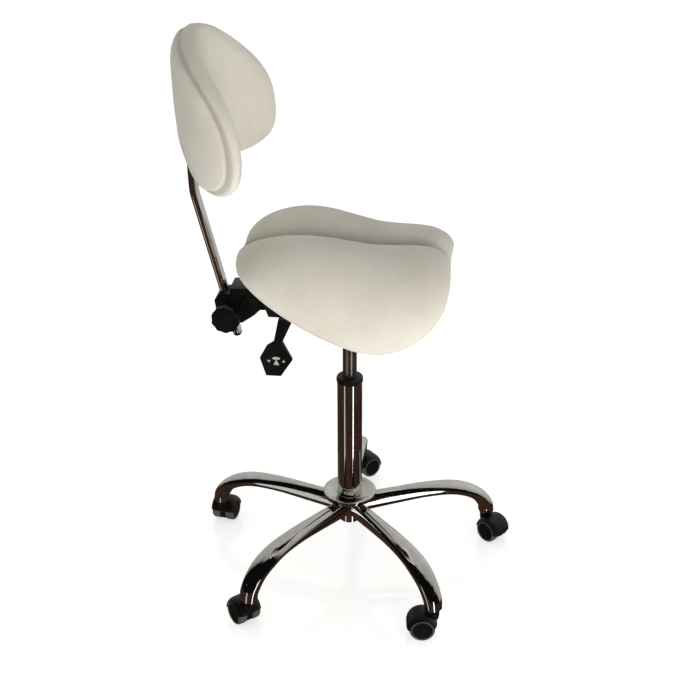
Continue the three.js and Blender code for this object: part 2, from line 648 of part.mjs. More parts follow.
add('back_bracket', backBracket(), BLACK_STEEL);
add('bracket_bolt', headedPin(HOUSING.halfWidth + GAP, BRACKET_BOLT), STEEL);
add('tilt_pivot_bolt', headedPin(CHEEK.halfWidth + GAP, PIVOT), BLACK_STEEL);
add('bar_clamp', barClamp(), BLACK_PLASTIC);
add('clamp_shoe', clampShoe(), STEEL);
add('clamp_screw', clampScrew(), STEEL);
add('clamp_knob', clampKnob(), BLACK_PLASTIC);
add('back_bar', backBar(), CHROME);
add('bar_end_plug', barPlug(), BLACK_PLASTIC);
add('backrest_board', backBoard(), PLYWOOD);
add('backrest_pad', backHalf(27, 1, 1), IVORY);
add('backrest_rear_cover', cut(backHalf(23, -1, 1), barForm(1.2, 700, BAR_TOP_Z + 2, 8)), IVORY);

stool.updateMatrixWorld(true);
const footprint = new THREE.Box3().setFromObject(stool, true);
const centre = footprint.getCenter(new THREE.Vector3());
stool.position.set(-centre.x, -centre.y, -footprint.min.z);

export default stool;
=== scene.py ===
# %% [markdown]
# # A pedicure stool
# A saddle seat and a wrap-around backrest stand on a gas column with a five-arm castor
# base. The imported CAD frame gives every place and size; these cells give each piece its
# finished form and its material. Lengths in the tables below are millimetres, measured
# from the column's axis on the floor, because stool drawings are made that way; the
# helper `row` turns such a place into the frame's metres.

# %% The frame
import json
import math

import bmesh
import bpy
from mathutils import Matrix, Vector, noise

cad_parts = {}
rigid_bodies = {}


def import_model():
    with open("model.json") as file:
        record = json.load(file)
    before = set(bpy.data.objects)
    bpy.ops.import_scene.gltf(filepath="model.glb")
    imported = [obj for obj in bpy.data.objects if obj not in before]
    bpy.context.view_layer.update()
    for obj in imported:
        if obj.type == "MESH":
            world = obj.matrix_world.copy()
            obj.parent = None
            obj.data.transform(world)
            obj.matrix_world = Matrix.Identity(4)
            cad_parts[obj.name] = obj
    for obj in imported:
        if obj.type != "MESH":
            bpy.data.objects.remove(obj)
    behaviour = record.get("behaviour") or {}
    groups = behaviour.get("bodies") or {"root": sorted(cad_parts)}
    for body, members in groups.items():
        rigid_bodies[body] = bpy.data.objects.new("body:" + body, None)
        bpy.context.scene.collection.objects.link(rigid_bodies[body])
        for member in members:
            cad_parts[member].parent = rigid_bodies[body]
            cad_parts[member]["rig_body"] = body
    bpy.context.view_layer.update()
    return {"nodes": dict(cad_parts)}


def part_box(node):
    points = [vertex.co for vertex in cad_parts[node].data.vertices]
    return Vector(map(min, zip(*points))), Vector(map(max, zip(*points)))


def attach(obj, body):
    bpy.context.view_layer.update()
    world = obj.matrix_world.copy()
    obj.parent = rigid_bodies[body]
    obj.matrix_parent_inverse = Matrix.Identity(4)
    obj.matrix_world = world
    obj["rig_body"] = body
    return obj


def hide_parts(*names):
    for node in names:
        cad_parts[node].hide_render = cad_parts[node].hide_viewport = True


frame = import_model()
column_low, column_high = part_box("column_tube")
AXIS = Vector(((column_low.x + column_high.x) / 2, (column_low.y + column_high.y) / 2, 0))
MM = 0.001


def row(x, y, z):
    """A place in millimetres from the column's axis, in the frame's metres."""
    return AXIS + Vector((x, y, z)) * MM


def clamped(value):
    """The value, kept between 0 and 1."""
    return max(0.0, min(1.0, value))


# %% [markdown]
# ## Camera, floor and light
# The stool is seen from its side and a little above, on a pale floor in a white room.
# Polished metal shows whatever is around it, so the room matters as much as the lamps:
# light walls beyond the stool and in front of it, darkness overhead and behind the
# camera, and brown boards low down are what make chrome read as chrome. A world that is
# painted by direction gives that to the reflections alone, while the light that falls on
# the leatherette stays soft. The camera itself sees a white backdrop.

# %% Camera
camera = bpy.data.objects.new("camera", bpy.data.cameras.new("camera"))
bpy.context.scene.collection.objects.link(camera)
camera.data.sensor_width = 36
camera.data.lens = 60.95
camera.location = row(-2056, -231, 1542)
camera.rotation_euler = Vector((0.8855, 0.0993, -0.454)).to_track_quat("-Z", "Y").to_euler()
bpy.context.scene.camera = camera
print("camera", round((camera.location - AXIS).length, 2), "m from the foot of the column")


# %% Colours and nodes
def linear(hex_colour):
    """An sRGB hex colour as the linear values that shaders work in."""
    channels = [int(hex_colour[i:i + 2], 16) / 255 for i in (1, 3, 5)]
    return [c / 12.92 if c <= 0.04045 else ((c + 0.055) / 1.055) ** 2.4 for c in channels] + [1]


def add_node(tree, kind, settings=None, links=None):
    """Adds one node with its settings and its incoming links, both named by socket."""
    made = tree.nodes.new(kind)
    for name, value in (settings or {}).items():
        if name == "stops":
            for _ in range(len(value) - 2):
                made.color_ramp.elements.new(0.5)
            for stop, (place, colour) in zip(made.color_ramp.elements, value):
                stop.position = place
            for stop, (place, colour) in zip(made.color_ramp.elements, value):
                stop.color = linear(colour)
        elif isinstance(name, int) or name in made.inputs:
            made.inputs[name].default_value = value
        else:
            setattr(made, name, value)
    for name, socket in (links or {}).items():
        tree.links.new(socket, made.inputs[name])
    return made


# %% Room
world = bpy.data.worlds.new("white_room")
bpy.context.scene.world = world
world.use_nodes = True
room = world.node_tree
room.nodes.clear()
way = add_node(room, "ShaderNodeTexCoord")
height = add_node(room, "ShaderNodeSeparateXYZ", links={"Vector": way.outputs["Generated"]})
ripple = add_node(room, "ShaderNodeTexNoise", {"Scale": 7.0, "Detail": 4.0},
                  {"Vector": way.outputs["Generated"]})
ahead = add_node(room, "ShaderNodeMapRange", {"From Min": 0.0, "From Max": -1.0, "To Max": 0.55},
                 {"Value": height.outputs["Y"]})
rise = add_node(room, "ShaderNodeMath", {"operation": "MULTIPLY_ADD", 1: 0.35},
                {0: height.outputs["Z"], 2: ahead.outputs["Result"]})
slant = add_node(room, "ShaderNodeMath", {"operation": "MULTIPLY_ADD", 1: 0.9},
                 {0: height.outputs["X"], 2: rise.outputs["Value"]})
waver = add_node(room, "ShaderNodeMath", {"operation": "MULTIPLY_ADD", 1: 0.30},
                 {0: ripple.outputs["Fac"], 2: slant.outputs["Value"]})
level = add_node(room, "ShaderNodeMapRange", {"From Min": -0.6, "From Max": 1.4},
                 {"Value": waver.outputs["Value"]})
walls = add_node(room, "ShaderNodeValToRGB", {"stops": [
    (0.00, "#0B0A0A"), (0.585, "#0E0D0D"), (0.61, "#8D8C89"), (0.68, "#B7B6B2"), (0.85, "#C9C8C4"),
    (1.00, "#E8E8E6"),
]}, {"Fac": level.outputs["Result"]})
boards = add_node(room, "ShaderNodeValToRGB", {"stops": [
    (0.30, "#2E211A"), (0.5, "#4A372C"), (0.62, "#1D1613")]}, {"Fac": ripple.outputs["Fac"]})
far_wall = add_node(room, "ShaderNodeMapRange", {"From Min": 0.2, "From Max": 1.0, "To Max": 0.36},
                    {"Value": height.outputs["X"]})
beyond = add_node(room, "ShaderNodeMath", {"operation": "ADD"},
                  {0: far_wall.outputs["Result"], 1: height.outputs["Z"]})
horizon = add_node(room, "ShaderNodeMath", {"operation": "MULTIPLY_ADD", 1: 0.4},
                   {0: ahead.outputs["Result"], 2: beyond.outputs["Value"]})
above = add_node(room, "ShaderNodeMapRange", {"From Min": -0.06, "From Max": 0.02},
                 {"Value": horizon.outputs["Value"]})
seen = add_node(room, "ShaderNodeMixRGB", links={
    "Fac": above.outputs["Result"], "Color1": boards.outputs["Color"], "Color2": walls.outputs["Color"]})
reflection = add_node(room, "ShaderNodeBackground", {"Strength": 1.0}, {"Color": seen.outputs["Color"]})
ambient = add_node(room, "ShaderNodeBackground", {"Color": linear("#F4F3F0"), "Strength": 0.48})
ray = add_node(room, "ShaderNodeLightPath")
choose = add_node(room, "ShaderNodeMixShader", links={
    "Fac": ray.outputs["Is Glossy Ray"], 1: ambient.outputs[0], 2: reflection.outputs[0]})
backdrop = add_node(room, "ShaderNodeBackground", {"Color": linear("#FFFFFF"), "Strength": 1.0})
shown = add_node(room, "ShaderNodeMixShader", links={
    "Fac": ray.outputs["Is Camera Ray"], 1: choose.outputs[0], 2: backdrop.outputs[0]})
add_node(room, "ShaderNodeOutputWorld", links={"Surface": shown.outputs[0]})
bpy.context.scene.view_settings.view_transform = "Standard"


# %% Floor and lamps
def lamp(name, place, aim, size, watts, colour="#FFFFFF", reflects=True):
    light = bpy.data.objects.new(name, bpy.data.lights.new(name, "AREA"))
    bpy.context.scene.collection.objects.link(light)
    light.data.shape = "RECTANGLE"
    light.data.size, light.data.size_y = size
    light.data.energy = watts
    light.data.color = linear(colour)[:3]
    light.location = place
    light.rotation_euler = (aim - place).to_track_quat("-Z", "Y").to_euler()
    light.visible_camera = False
    light.visible_glossy = reflects
    return light


lamp("low_softbox", row(-1700, -950, 400), row(0, -40, 640), (1.4, 0.9), 15, "#FFFBF2", False)
lamp("ceiling_softbox", row(300, 300, 2600), row(0, 0, 500), (1.6, 1.6), 2, "#FFFFFF", False)
lamp("strip_near", row(-1150, -850, -430), row(0, 0, 300), (0.20, 1.3), 2.4)
lamp("strip_beside", row(-1100, 900, -430), row(0, 0, 300), (0.26, 1.3), 0.8)

bm = bmesh.new()
bmesh.ops.create_grid(bm, x_segments=1, y_segments=1, size=7)
floor = bpy.data.objects.new("floor", bpy.data.meshes.new("floor"))
bm.to_mesh(floor.data)
bpy.context.scene.collection.objects.link(floor)
pale = bpy.data.materials.new("pale_floor_paint")
pale.use_nodes = True
paint = pale.node_tree.nodes["Principled BSDF"]
paint.inputs["Base Color"].default_value = linear("#FAFAF9")
paint.inputs["Roughness"].default_value = 0.10
paint.inputs["IOR"].default_value = 1.9
paint.inputs["Emission Color"].default_value = linear("#FFFFFF")
paint.inputs["Emission Strength"].default_value = 0.60
floor.data.materials.append(pale)
floor.visible_glossy = False


# %% [markdown]
# ## Materials
# Each finish begins with what the real one is made of. Patterns are laid on Object
# coordinates in metres, so a noise of scale 400 has features of about 2.5 mm.

# %% Starting a material
def begin(name, base, **shader):
    """A new material with its shader set and object coordinates ready."""
    made = bpy.data.materials.new(name)
    made.use_nodes = True
    tree = made.node_tree
    shade = tree.nodes["Principled BSDF"]
    shade.inputs["Base Color"].default_value = linear(base)
    for socket, value in shader.items():
        shade.inputs[socket.replace("_", " ")].default_value = value
    place = add_node(tree, "ShaderNodeTexCoord").outputs["Object"]
    return made, tree, shade, place


# %% [markdown]
# Upholstery leatherette is a polyurethane skin on a knitted cloth, rolled hot with a
# fine leather grain. It gives the eye a warm white with a soft, broad shine, slightly
# darker in the valleys of the grain. Real grain is about 0.8 mm, too fine for one
# whole-stool view, so its cells are drawn at 1.8 mm. Folds and seams get painted shade:
# each pad carries a value named crease that darkens its skin there.

# %% Ivory leatherette
leatherette, tree, shade, place = begin("embossed_ivory_leatherette", "#EDE9DF", Roughness=0.42, IOR=1.48)
hand = add_node(tree, "ShaderNodeTexNoise", {"Scale": 9.0, "Detail": 3.0}, {"Vector": place})
tint = add_node(tree, "ShaderNodeValToRGB", {"stops": [(0.35, "#E6E1D5"), (0.65, "#F0ECE3")]},
                {"Fac": hand.outputs["Fac"]})
grain = add_node(tree, "ShaderNodeTexVoronoi", {"feature": "DISTANCE_TO_EDGE", "Scale": 1 / 0.0018},
                 {"Vector": place})
valley = add_node(tree, "ShaderNodeValToRGB", {"stops": [(0.0, "#DDD8CC"), (0.16, "#FFFFFF")]},
                  {"Fac": grain.outputs["Distance"]})
skin = add_node(tree, "ShaderNodeMixRGB", {"blend_type": "MULTIPLY", "Fac": 0.55},
                {"Color1": tint.outputs["Color"], "Color2": valley.outputs["Color"]})
# Painted shade: where a pad's crease value is high, the skin is darkened towards #4E463C.
fold = add_node(tree, "ShaderNodeAttribute", {"attribute_name": "crease"})
painted_crease_shade = add_node(tree, "ShaderNodeMixRGB", {"Color2": linear("#4E463C")},
                  {"Fac": fold.outputs["Fac"], "Color1": skin.outputs["Color"]})
tree.links.new(painted_crease_shade.outputs["Color"], shade.inputs["Base Color"])
pull = add_node(tree, "ShaderNodeTexNoise", {"Scale": 55.0, "Detail": 4.0}, {"Vector": place})
gloss = add_node(tree, "ShaderNodeMapRange", {"To Min": 0.36, "To Max": 0.50}, {"Value": pull.outputs["Fac"]})
tree.links.new(gloss.outputs["Result"], shade.inputs["Roughness"])
soft = add_node(tree, "ShaderNodeBump", {"Strength": 0.35, "Distance": 0.0008},
                {"Height": pull.outputs["Fac"]})
emboss = add_node(tree, "ShaderNodeBump", {"Strength": 0.28, "Distance": 0.00025},
                  {"Height": grain.outputs["Distance"], "Normal": soft.outputs["Normal"]})
tree.links.new(emboss.outputs["Normal"], shade.inputs["Normal"])

# %% [markdown]
# Bright chrome plate is nickel and chromium on polished steel. It mirrors the room with
# almost no tint; buffing leaves a faint waviness and smears that blur it here and there.

# %% Chrome
chrome, tree, shade, place = begin("polished_chrome_plate", "#CFCFCD", Metallic=1.0, Roughness=0.06)
smear = add_node(tree, "ShaderNodeTexNoise", {"Scale": 45.0, "Detail": 5.0}, {"Vector": place})
blur = add_node(tree, "ShaderNodeMapRange", {"To Min": 0.03, "To Max": 0.11}, {"Value": smear.outputs["Fac"]})
tree.links.new(blur.outputs["Result"], shade.inputs["Roughness"])
tone = add_node(tree, "ShaderNodeValToRGB", {"stops": [(0.3, "#C6C5C2"), (0.7, "#D6D6D4")]},
                {"Fac": smear.outputs["Fac"]})
tree.links.new(tone.outputs["Color"], shade.inputs["Base Color"])
wave = add_node(tree, "ShaderNodeTexNoise", {"Scale": 28.0, "Detail": 1.0}, {"Vector": place})
buffed = add_node(tree, "ShaderNodeBump", {"Strength": 0.05, "Distance": 0.0005},
                  {"Height": wave.outputs["Fac"]})
tree.links.new(buffed.outputs["Normal"], shade.inputs["Normal"])


# %% [markdown]
# The dark pieces differ by how they were made. Powder paint melts into a fine orange
# peel; moulded nylon copies the spark-eroded texture of its tool; tread is a softer grey
# plastic; zinc-plated steel is dull and cloudy. The gas tube is chrome too, but ground
# rather than polished, so it spreads a lamp into a broad soft line.

# %% Dark finishes and bare steel
def mottled(name, dark, light, rough, grit_mm, depth_mm, **shader):
    """A moulded, painted or plated finish: two near tones, uneven gloss and a fine bump."""
    made, tree, shade, place = begin(name, dark, **shader)
    cloud = add_node(tree, "ShaderNodeTexNoise", {"Scale": 34.0, "Detail": 6.0}, {"Vector": place})
    tone = add_node(tree, "ShaderNodeValToRGB", {"stops": [(0.35, dark), (0.68, light)]},
                    {"Fac": cloud.outputs["Fac"]})
    tree.links.new(tone.outputs["Color"], shade.inputs["Base Color"])
    gloss = add_node(tree, "ShaderNodeMapRange", {"To Min": rough - 0.07, "To Max": rough + 0.09},
                     {"Value": cloud.outputs["Fac"]})
    tree.links.new(gloss.outputs["Result"], shade.inputs["Roughness"])
    grit = add_node(tree, "ShaderNodeTexNoise", {"Scale": 1000 / grit_mm, "Detail": 2.0}, {"Vector": place})
    bump = add_node(tree, "ShaderNodeBump", {"Strength": 0.5, "Distance": depth_mm * MM},
                    {"Height": grit.outputs["Fac"]})
    tree.links.new(bump.outputs["Normal"], shade.inputs["Normal"])
    return made


powder_black = mottled("black_powder_paint", "#0A0A0A", "#131313", 0.45, 2.2, 0.12, IOR=1.5)
nylon_black = mottled("moulded_black_nylon", "#080808", "#121211", 0.50, 1.6, 0.10, IOR=1.53)
tread_grey = mottled("grey_castor_tread", "#484846", "#5A5A57", 0.60, 1.4, 0.08, IOR=1.5)
rubber_black = mottled("black_rubber", "#0B0B0B", "#171717", 0.80, 1.2, 0.06, IOR=1.52)
satin_chrome = mottled("ground_satin_chrome", "#B4B4B2", "#C6C6C4", 0.33, 1.2, 0.01, Metallic=1.0)
zinc_steel = mottled("zinc_plated_steel", "#8C8C8A", "#A6A6A2", 0.30, 1.2, 0.03, Metallic=1.0)
print("finishes", [m.name for m in bpy.data.materials if m.users])

# %% [markdown]
# Boards inside the padding are beech plywood, pressed in a curved mould. Grain noise,
# stretched along the board, says so.

# %% Plywood
plywood, tree, shade, place = begin("pressed_beech_plywood", "#B28B5C", Roughness=0.65)
lay = add_node(tree, "ShaderNodeMapping", {"Scale": (12.0, 160.0, 160.0)}, {"Vector": place})
fibre = add_node(tree, "ShaderNodeTexNoise", {"Scale": 1.0, "Detail": 6.0}, {"Vector": lay.outputs["Vector"]})
tone = add_node(tree, "ShaderNodeValToRGB", {"stops": [(0.3, "#9A7448"), (0.7, "#C7A272")]},
                {"Fac": fibre.outputs["Fac"]})
tree.links.new(tone.outputs["Color"], shade.inputs["Base Color"])
rough = add_node(tree, "ShaderNodeBump", {"Strength": 0.3, "Distance": 0.0004},
                 {"Height": fibre.outputs["Fac"]})
tree.links.new(rough.outputs["Normal"], shade.inputs["Normal"])


# %% [markdown]
# ## Making and placing a piece
# Every new piece ends the same way: its faces are turned outwards, its soft corners are
# shaded smooth, it is told which CAD body it rides on, and the CAD nodes it stands for are hidden.

# %% Settling a piece
FINISHES = {"ivory_leatherette": leatherette, "chrome": chrome, "black_steel": powder_black,
            "black_plastic": nylon_black, "grey_tread": tread_grey, "black_rubber": rubber_black,
            "bare_steel": zinc_steel, "plywood": plywood}


def body_of(node):
    return frame["nodes"][node]["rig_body"]


def settle(bm, name, body, finish, *nodes, crease=38):
    """Makes the bmesh an object that rides on a body and stands for some CAD nodes."""
    bmesh.ops.remove_doubles(bm, verts=bm.verts, dist=1e-6)
    bmesh.ops.recalc_face_normals(bm, faces=bm.faces)
    mesh = bpy.data.meshes.new(name)
    bm.to_mesh(mesh)
    bm.free()
    return dress(bpy.data.objects.new(name, mesh), body, finish, *nodes, crease=crease)


def dress(piece, body, finish, *nodes, crease=38):
    """Links, shades and paints a piece, ties it to its body and hides its nodes."""
    if piece.name not in bpy.context.scene.collection.objects:
        bpy.context.scene.collection.objects.link(piece)
    piece.data.polygons.foreach_set("use_smooth", [True] * len(piece.data.polygons))
    piece.data.set_sharp_from_angle(angle=math.radians(crease))
    piece.data.materials.clear()
    piece.data.materials.append(FINISHES[finish])
    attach(piece, body)
    if nodes:
        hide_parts(*nodes)
    return piece


def turned(profile, steps=64):
    """A bmesh spun about the column's axis from [radius, height] corners in millimetres."""
    bm = bmesh.new()
    corners = [bm.verts.new(row(r, 0, z)) for r, z in profile]
    edges = [bm.edges.new(pair) for pair in zip(corners, corners[1:])]
    bmesh.ops.spin(bm, geom=corners + edges, cent=AXIS, axis=(0, 0, 1), angle=math.tau,
                   steps=steps, use_merge=True)
    return bm


def wrapped(around, along, place):
    """A grid rolled up: place(u, v) gives a point, u goes round and v goes along, 0 to 1."""
    bm = bmesh.new()
    bmesh.ops.create_grid(bm, x_segments=around, y_segments=along, size=0.5)
    for vert in bm.verts:
        vert.co = place(vert.co.x + 0.5, vert.co.y + 0.5)
    bmesh.ops.remove_doubles(bm, verts=bm.verts, dist=2e-6)
    ends = [edge for edge in bm.edges if edge.is_boundary]
    bmesh.ops.holes_fill(bm, edges=ends, sides=0)
    return bm


def reading(table, x):
    """A smooth reading of a table of [x, y] rows: the curve passes through every row."""
    if x <= table[0][0]:
        return table[0][1]
    if x >= table[-1][0]:
        return table[-1][1]
    i = next(k for k, known in enumerate(table) if x <= known[0]) - 1

    def slope(k):
        before, after = table[max(0, k - 1)], table[min(len(table) - 1, k + 1)]
        return (after[1] - before[1]) / (after[0] - before[0])

    width = table[i + 1][0] - table[i][0]
    t = (x - table[i][0]) / width
    values = table[i][1] * (1 + 2 * t) * (1 - t) ** 2 + table[i + 1][1] * t * t * (3 - 2 * t)
    return values + width * (slope(i) * t * (1 - t) ** 2 - slope(i + 1) * t * t * (1 - t))


# %% [markdown]
# ## Column and hub
# The outer tube, the gas tube, the black collar and the dished ring are all turned or
# drawn round, so each is a profile spun about the column's axis. Small extra corners at
# the rims stand for the radius a real edge has; chrome shows it as a bright line.

# %% Turned pieces
dish_profile = [(25.8, 153.2), (31, 153), (50.5, 160.5), (52.6, 155.2), (54.6, 155), (55, 156),
                (55, 160.5), (54.3, 162.6), (52.6, 163.8), (50.5, 164.1), (48, 163.6),
                (44.5, 161.4), (33, 157.2), (30, 156.4), (26.2, 156.3), (25.6, 155.6), (25.8, 153.2)]
socket_profile = [(19.7, 93), (21, 93), (21.6, 93.6), (22.6, 122), (23.5, 151), (23.3, 152),
                  (21.7, 152), (19.7, 93)]
tube_profile = [(6.4, 97), (19, 97), (19.3, 97.5), (21.2, 152), (25, 159), (25, 418.8),
                (24.8, 419.6), (24.2, 420), (23.4, 420), (23.2, 419), (23.2, 162), (19.3, 154),
                (17.3, 101), (6.4, 101), (6.4, 97)]
collar_profile = [(14.4, 358), (22.8, 358), (22.8, 420.3), (26, 420.3), (26.5, 420.9), (26.5, 427),
                  (26.1, 429), (24.8, 430.5), (22.5, 431), (16, 431), (14.8, 430.4), (14.4, 429.2),
                  (14.4, 358)]
gas_profile = [(5.4, 312), (13, 312), (13.7, 312.4), (14, 313.2), (14, 584), (13, 628), (4.4, 628),
               (4.4, 612), (11.4, 612), (12.4, 584), (12.4, 320), (5.4, 320), (5.4, 312)]
for name, node, profile, finish in (
        ("dished_ring", "hub_dish", dish_profile, "chrome"),
        ("hub_sleeve", "hub_socket", socket_profile, "chrome"),
        ("outer_tube", "column_tube", tube_profile, "chrome"),
        ("collar", "column_guide_bush", collar_profile, "black_plastic"),
        ("gas_tube", "gas_cylinder", gas_profile, "chrome")):
    piece = settle(turned(profile, 96), name, body_of(node), finish, node, crease=28)
    if name == "gas_tube":
        piece.data.materials[0] = satin_chrome
    print(name, len(piece.data.polygons), "faces")

# %% [markdown]
# ## Base arms
# An arm is a steel tube pressed from deep and narrow at the hub to wide and flat at its
# bend, then turned down to the castor. A grid is rolled round a curved centre line, so
# the section can change smoothly along it; chrome would show any kink.

# %% Arms
ARM_LINE = [(16, 127), (90, 132), (165, 136), (228, 131.5), (274, 113), (300, 84), (305, 61)]
ARM_HALF_WIDTH = [(0, 13.2), (0.06, 13.6), (0.3, 16), (0.72, 22), (0.85, 20), (1, 17)]
ARM_HALF_DEPTH = [(0, 21), (0.3, 17), (0.62, 12), (0.8, 12.5), (0.9, 15), (1, 16)]
ARM_ROUND = 0.86
ARM_STEPS = 72
ARM_LOWEST = 61
FIRST_ARM = 20.2
ARMS = 5


def smooth_line(corners, steps=24):
    """Points close together on a smooth line through the corners."""
    corners = [Vector(c) for c in corners]
    ends = [2 * corners[0] - corners[1], *corners, 2 * corners[-1] - corners[-2]]
    points = []
    for a, b, c, d in zip(ends, ends[1:], ends[2:], ends[3:]):
        for k in range(steps):
            t = k / steps
            points.append(0.5 * (2 * b + (c - a) * t + (2 * a - 5 * b + 4 * c - d) * t ** 2
                                 + (3 * b - a - 3 * c + d) * t ** 3))
    return points + [corners[-1]]


def on_line(points, share):
    """The point at a share of the line's length, and the line's direction there."""
    spans = [(b - a).length for a, b in zip(points, points[1:])]
    left = clamped(share) * sum(spans)
    for a, b, span in zip(points, points[1:], spans):
        if left <= span:
            break
        left -= span
    return a.lerp(b, left / span), (b - a).normalized()


arm_line = smooth_line(ARM_LINE)
arm_places = [on_line(arm_line, k / ARM_STEPS) for k in range(ARM_STEPS + 1)]


def rounded(value, evenness):
    """A sine or cosine flattened towards a squarer section; 1 leaves it round."""
    return math.copysign(abs(value) ** evenness, value)


def arm_point(turn):
    direction = Vector((math.sin(turn), -math.cos(turn)))
    beside = Vector((math.cos(turn), math.sin(turn)))

    def place(u, v):
        share = 0.02 + 0.98 * v
        k = min(ARM_STEPS - 1, int(share * ARM_STEPS))
        part = share * ARM_STEPS - k
        at = arm_places[k][0].lerp(arm_places[k + 1][0], part)
        way = arm_places[k][1].lerp(arm_places[k + 1][1], part).normalized()
        width = reading(ARM_HALF_WIDTH, share) * rounded(math.cos(math.tau * u), ARM_ROUND)
        depth = reading(ARM_HALF_DEPTH, share) * rounded(math.sin(math.tau * u), ARM_ROUND)
        reach = at.x - depth * way.y
        level = max(ARM_LOWEST, at.y + depth * way.x)
        flat = direction * reach + beside * width
        return row(flat.x, flat.y, level)

    return place


for k in range(ARMS):
    turn = math.radians(FIRST_ARM + k * 360 / ARMS)
    arm = settle(wrapped(48, ARM_STEPS, arm_point(turn)), f"arm_{k + 1}", "base", "chrome",
                 f"base_arm_{k + 1}", crease=50)
print("arms", ARMS, "each of", len(arm.data.polygons), "faces")

# %% [markdown]
# ## Castors
# A twin-wheel castor is a nylon hood over two wheels with a stem on top. The hood's top
# is an arc rolled over the axle with soft shoulders, so it is one bent sheet, thickened
# inwards; its neck is a spun post. Each wheel is spun on the axle: a grey tread ring
# with rounded edges round a black disc that is set back a little.

# %% One castor
INNER_FACE = 5.9
HOOD_HALF_WIDTH = 25
HOOD_RADIUS = 28.4
HOOD_WALL = 1.8
tread_profile = [(0.4, 19.6), (0.4, 23.2), (1.6, 24.6), (3.4, 25), (13.6, 25), (16.2, 24.4),
                 (18.2, 22.9), (19, 21.2), (18.6, 20.1), (17.6, 19.6), (0.4, 19.6)]
disc_profile = [(0.2, 4.4), (0.2, 19.3), (17, 19.3), (17.4, 18.6), (16.9, 16.5), (16.6, 9),
                (17.3, 5.2), (17.5, 0.05), (16, 0.05), (16, 4.4), (0.2, 4.4)]


def castor_place(number):
    """Where a castor stands and how its wheels lie: its axle's middle and direction."""
    low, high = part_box(f"castor_{number}_stem")
    left_low, left_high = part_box(f"castor_{number}_wheel_left")
    right_low, right_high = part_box(f"castor_{number}_wheel_right")
    left, right = (left_low + left_high) / 2, (right_low + right_high) / 2
    sideways = (left - right).normalized()
    stem = (low + high) / 2
    return Vector((stem.x, stem.y, 0)), (left + right) / 2, sideways


def spun_on_axle(profile, middle, sideways, side, steps=48):
    """A wheel piece from [out from the web, radius] corners, spun about the axle."""
    up = Vector((0, 0, 1))
    bm = bmesh.new()
    corners = [bm.verts.new(middle + sideways * side * (INNER_FACE + out) * MM + up * r * MM)
               for out, r in profile]
    edges = [bm.edges.new(pair) for pair in zip(corners, corners[1:])]
    bmesh.ops.spin(bm, geom=corners + edges, cent=middle, axis=sideways, angle=math.tau,
                   steps=steps, use_merge=True)
    return bm


def hood(stem, middle, sideways):
    """The bent cover, from low at the front, over the top, to low at the back."""
    back = Vector((middle.x - stem.x, middle.y - stem.y, 0)).normalized()
    bm = bmesh.new()
    bmesh.ops.create_grid(bm, x_segments=20, y_segments=28, size=0.5)
    for vert in bm.verts:
        across, round_ = vert.co.x * 2, vert.co.y + 0.5
        angle = math.radians(-76 + 166 * round_)
        shoulder = 1 - 0.20 * abs(across) ** 5
        reach = HOOD_RADIUS * shoulder * MM
        out = sideways * across * HOOD_HALF_WIDTH * MM * (1 - 0.02 * abs(across))
        vert.co = middle + out + (back * math.sin(angle) + Vector((0, 0, 1)) * math.cos(angle)) * reach
    bmesh.ops.recalc_face_normals(bm, faces=bm.faces)
    bmesh.ops.solidify(bm, geom=bm.faces, thickness=HOOD_WALL * MM)
    post = [(5.9, 40), (11.5, 40), (12.6, 50), (12.2, 56), (13.4, 58.2), (13.4, 59.3), (12.6, 59.8),
            (5.9, 59.8), (5.9, 40)]
    corners = [bm.verts.new(stem + Vector((r, 0, z)) * MM) for r, z in post]
    edges = [bm.edges.new(pair) for pair in zip(corners, corners[1:])]
    bmesh.ops.spin(bm, geom=corners + edges, cent=stem, axis=(0, 0, 1), angle=math.tau,
                   steps=40, use_merge=True)
    web = bmesh.ops.create_cone(bm, cap_ends=True, segments=40, radius1=24 * MM, radius2=24 * MM,
                                depth=10.6 * MM)["verts"]
    turn = Vector((0, 0, 1)).rotation_difference(sideways).to_matrix().to_4x4()
    bmesh.ops.transform(bm, verts=web, matrix=Matrix.Translation(middle) @ turn)
    return bm


for number in range(1, ARMS + 1):
    stem, middle, sideways = castor_place(number)
    name = f"castor_{number}"
    settle(hood(stem, middle, sideways), f"{name}_cover", name, "black_plastic", f"{name}_hood", crease=45)
    for side, word in ((1, "left"), (-1, "right")):
        settle(spun_on_axle(tread_profile, middle, sideways, side), f"{name}_tread_{word}",
               f"{name}_{word}", "grey_tread", f"{name}_wheel_{word}", crease=30)
        settle(spun_on_axle(disc_profile, middle, sideways, side), f"{name}_disc_{word}",
               f"{name}_{word}", "black_plastic", crease=30)
print("castors", ARMS, "wheel height", round(middle.z * 2, 4), "m")

# %% [markdown]
# ## Hard pieces from the CAD
# Brackets, clamp, housing and bolts have the right shape already but knife-sharp
# edges. A copy of each is cleaned of its flat triangles and given a small bevel, which
# catches the light as a pressed or moulded edge does.

# %% Bevelled copies
def eased(node, name, finish, edge_mm=0.8):
    bm = bmesh.new()
    bm.from_mesh(frame["nodes"][node].data)
    bmesh.ops.remove_doubles(bm, verts=bm.verts, dist=1e-5)
    bmesh.ops.dissolve_limit(bm, angle_limit=math.radians(1.5), verts=bm.verts, edges=bm.edges)
    sharp = [e for e in bm.edges if e.is_manifold and e.calc_face_angle(0) > math.radians(32)]
    bmesh.ops.bevel(bm, geom=sharp, offset=edge_mm * MM, segments=2, profile=0.5, affect="EDGES",
                    material=-1, clamp_overlap=True)
    return settle(bm, name, body_of(node), finish, node)


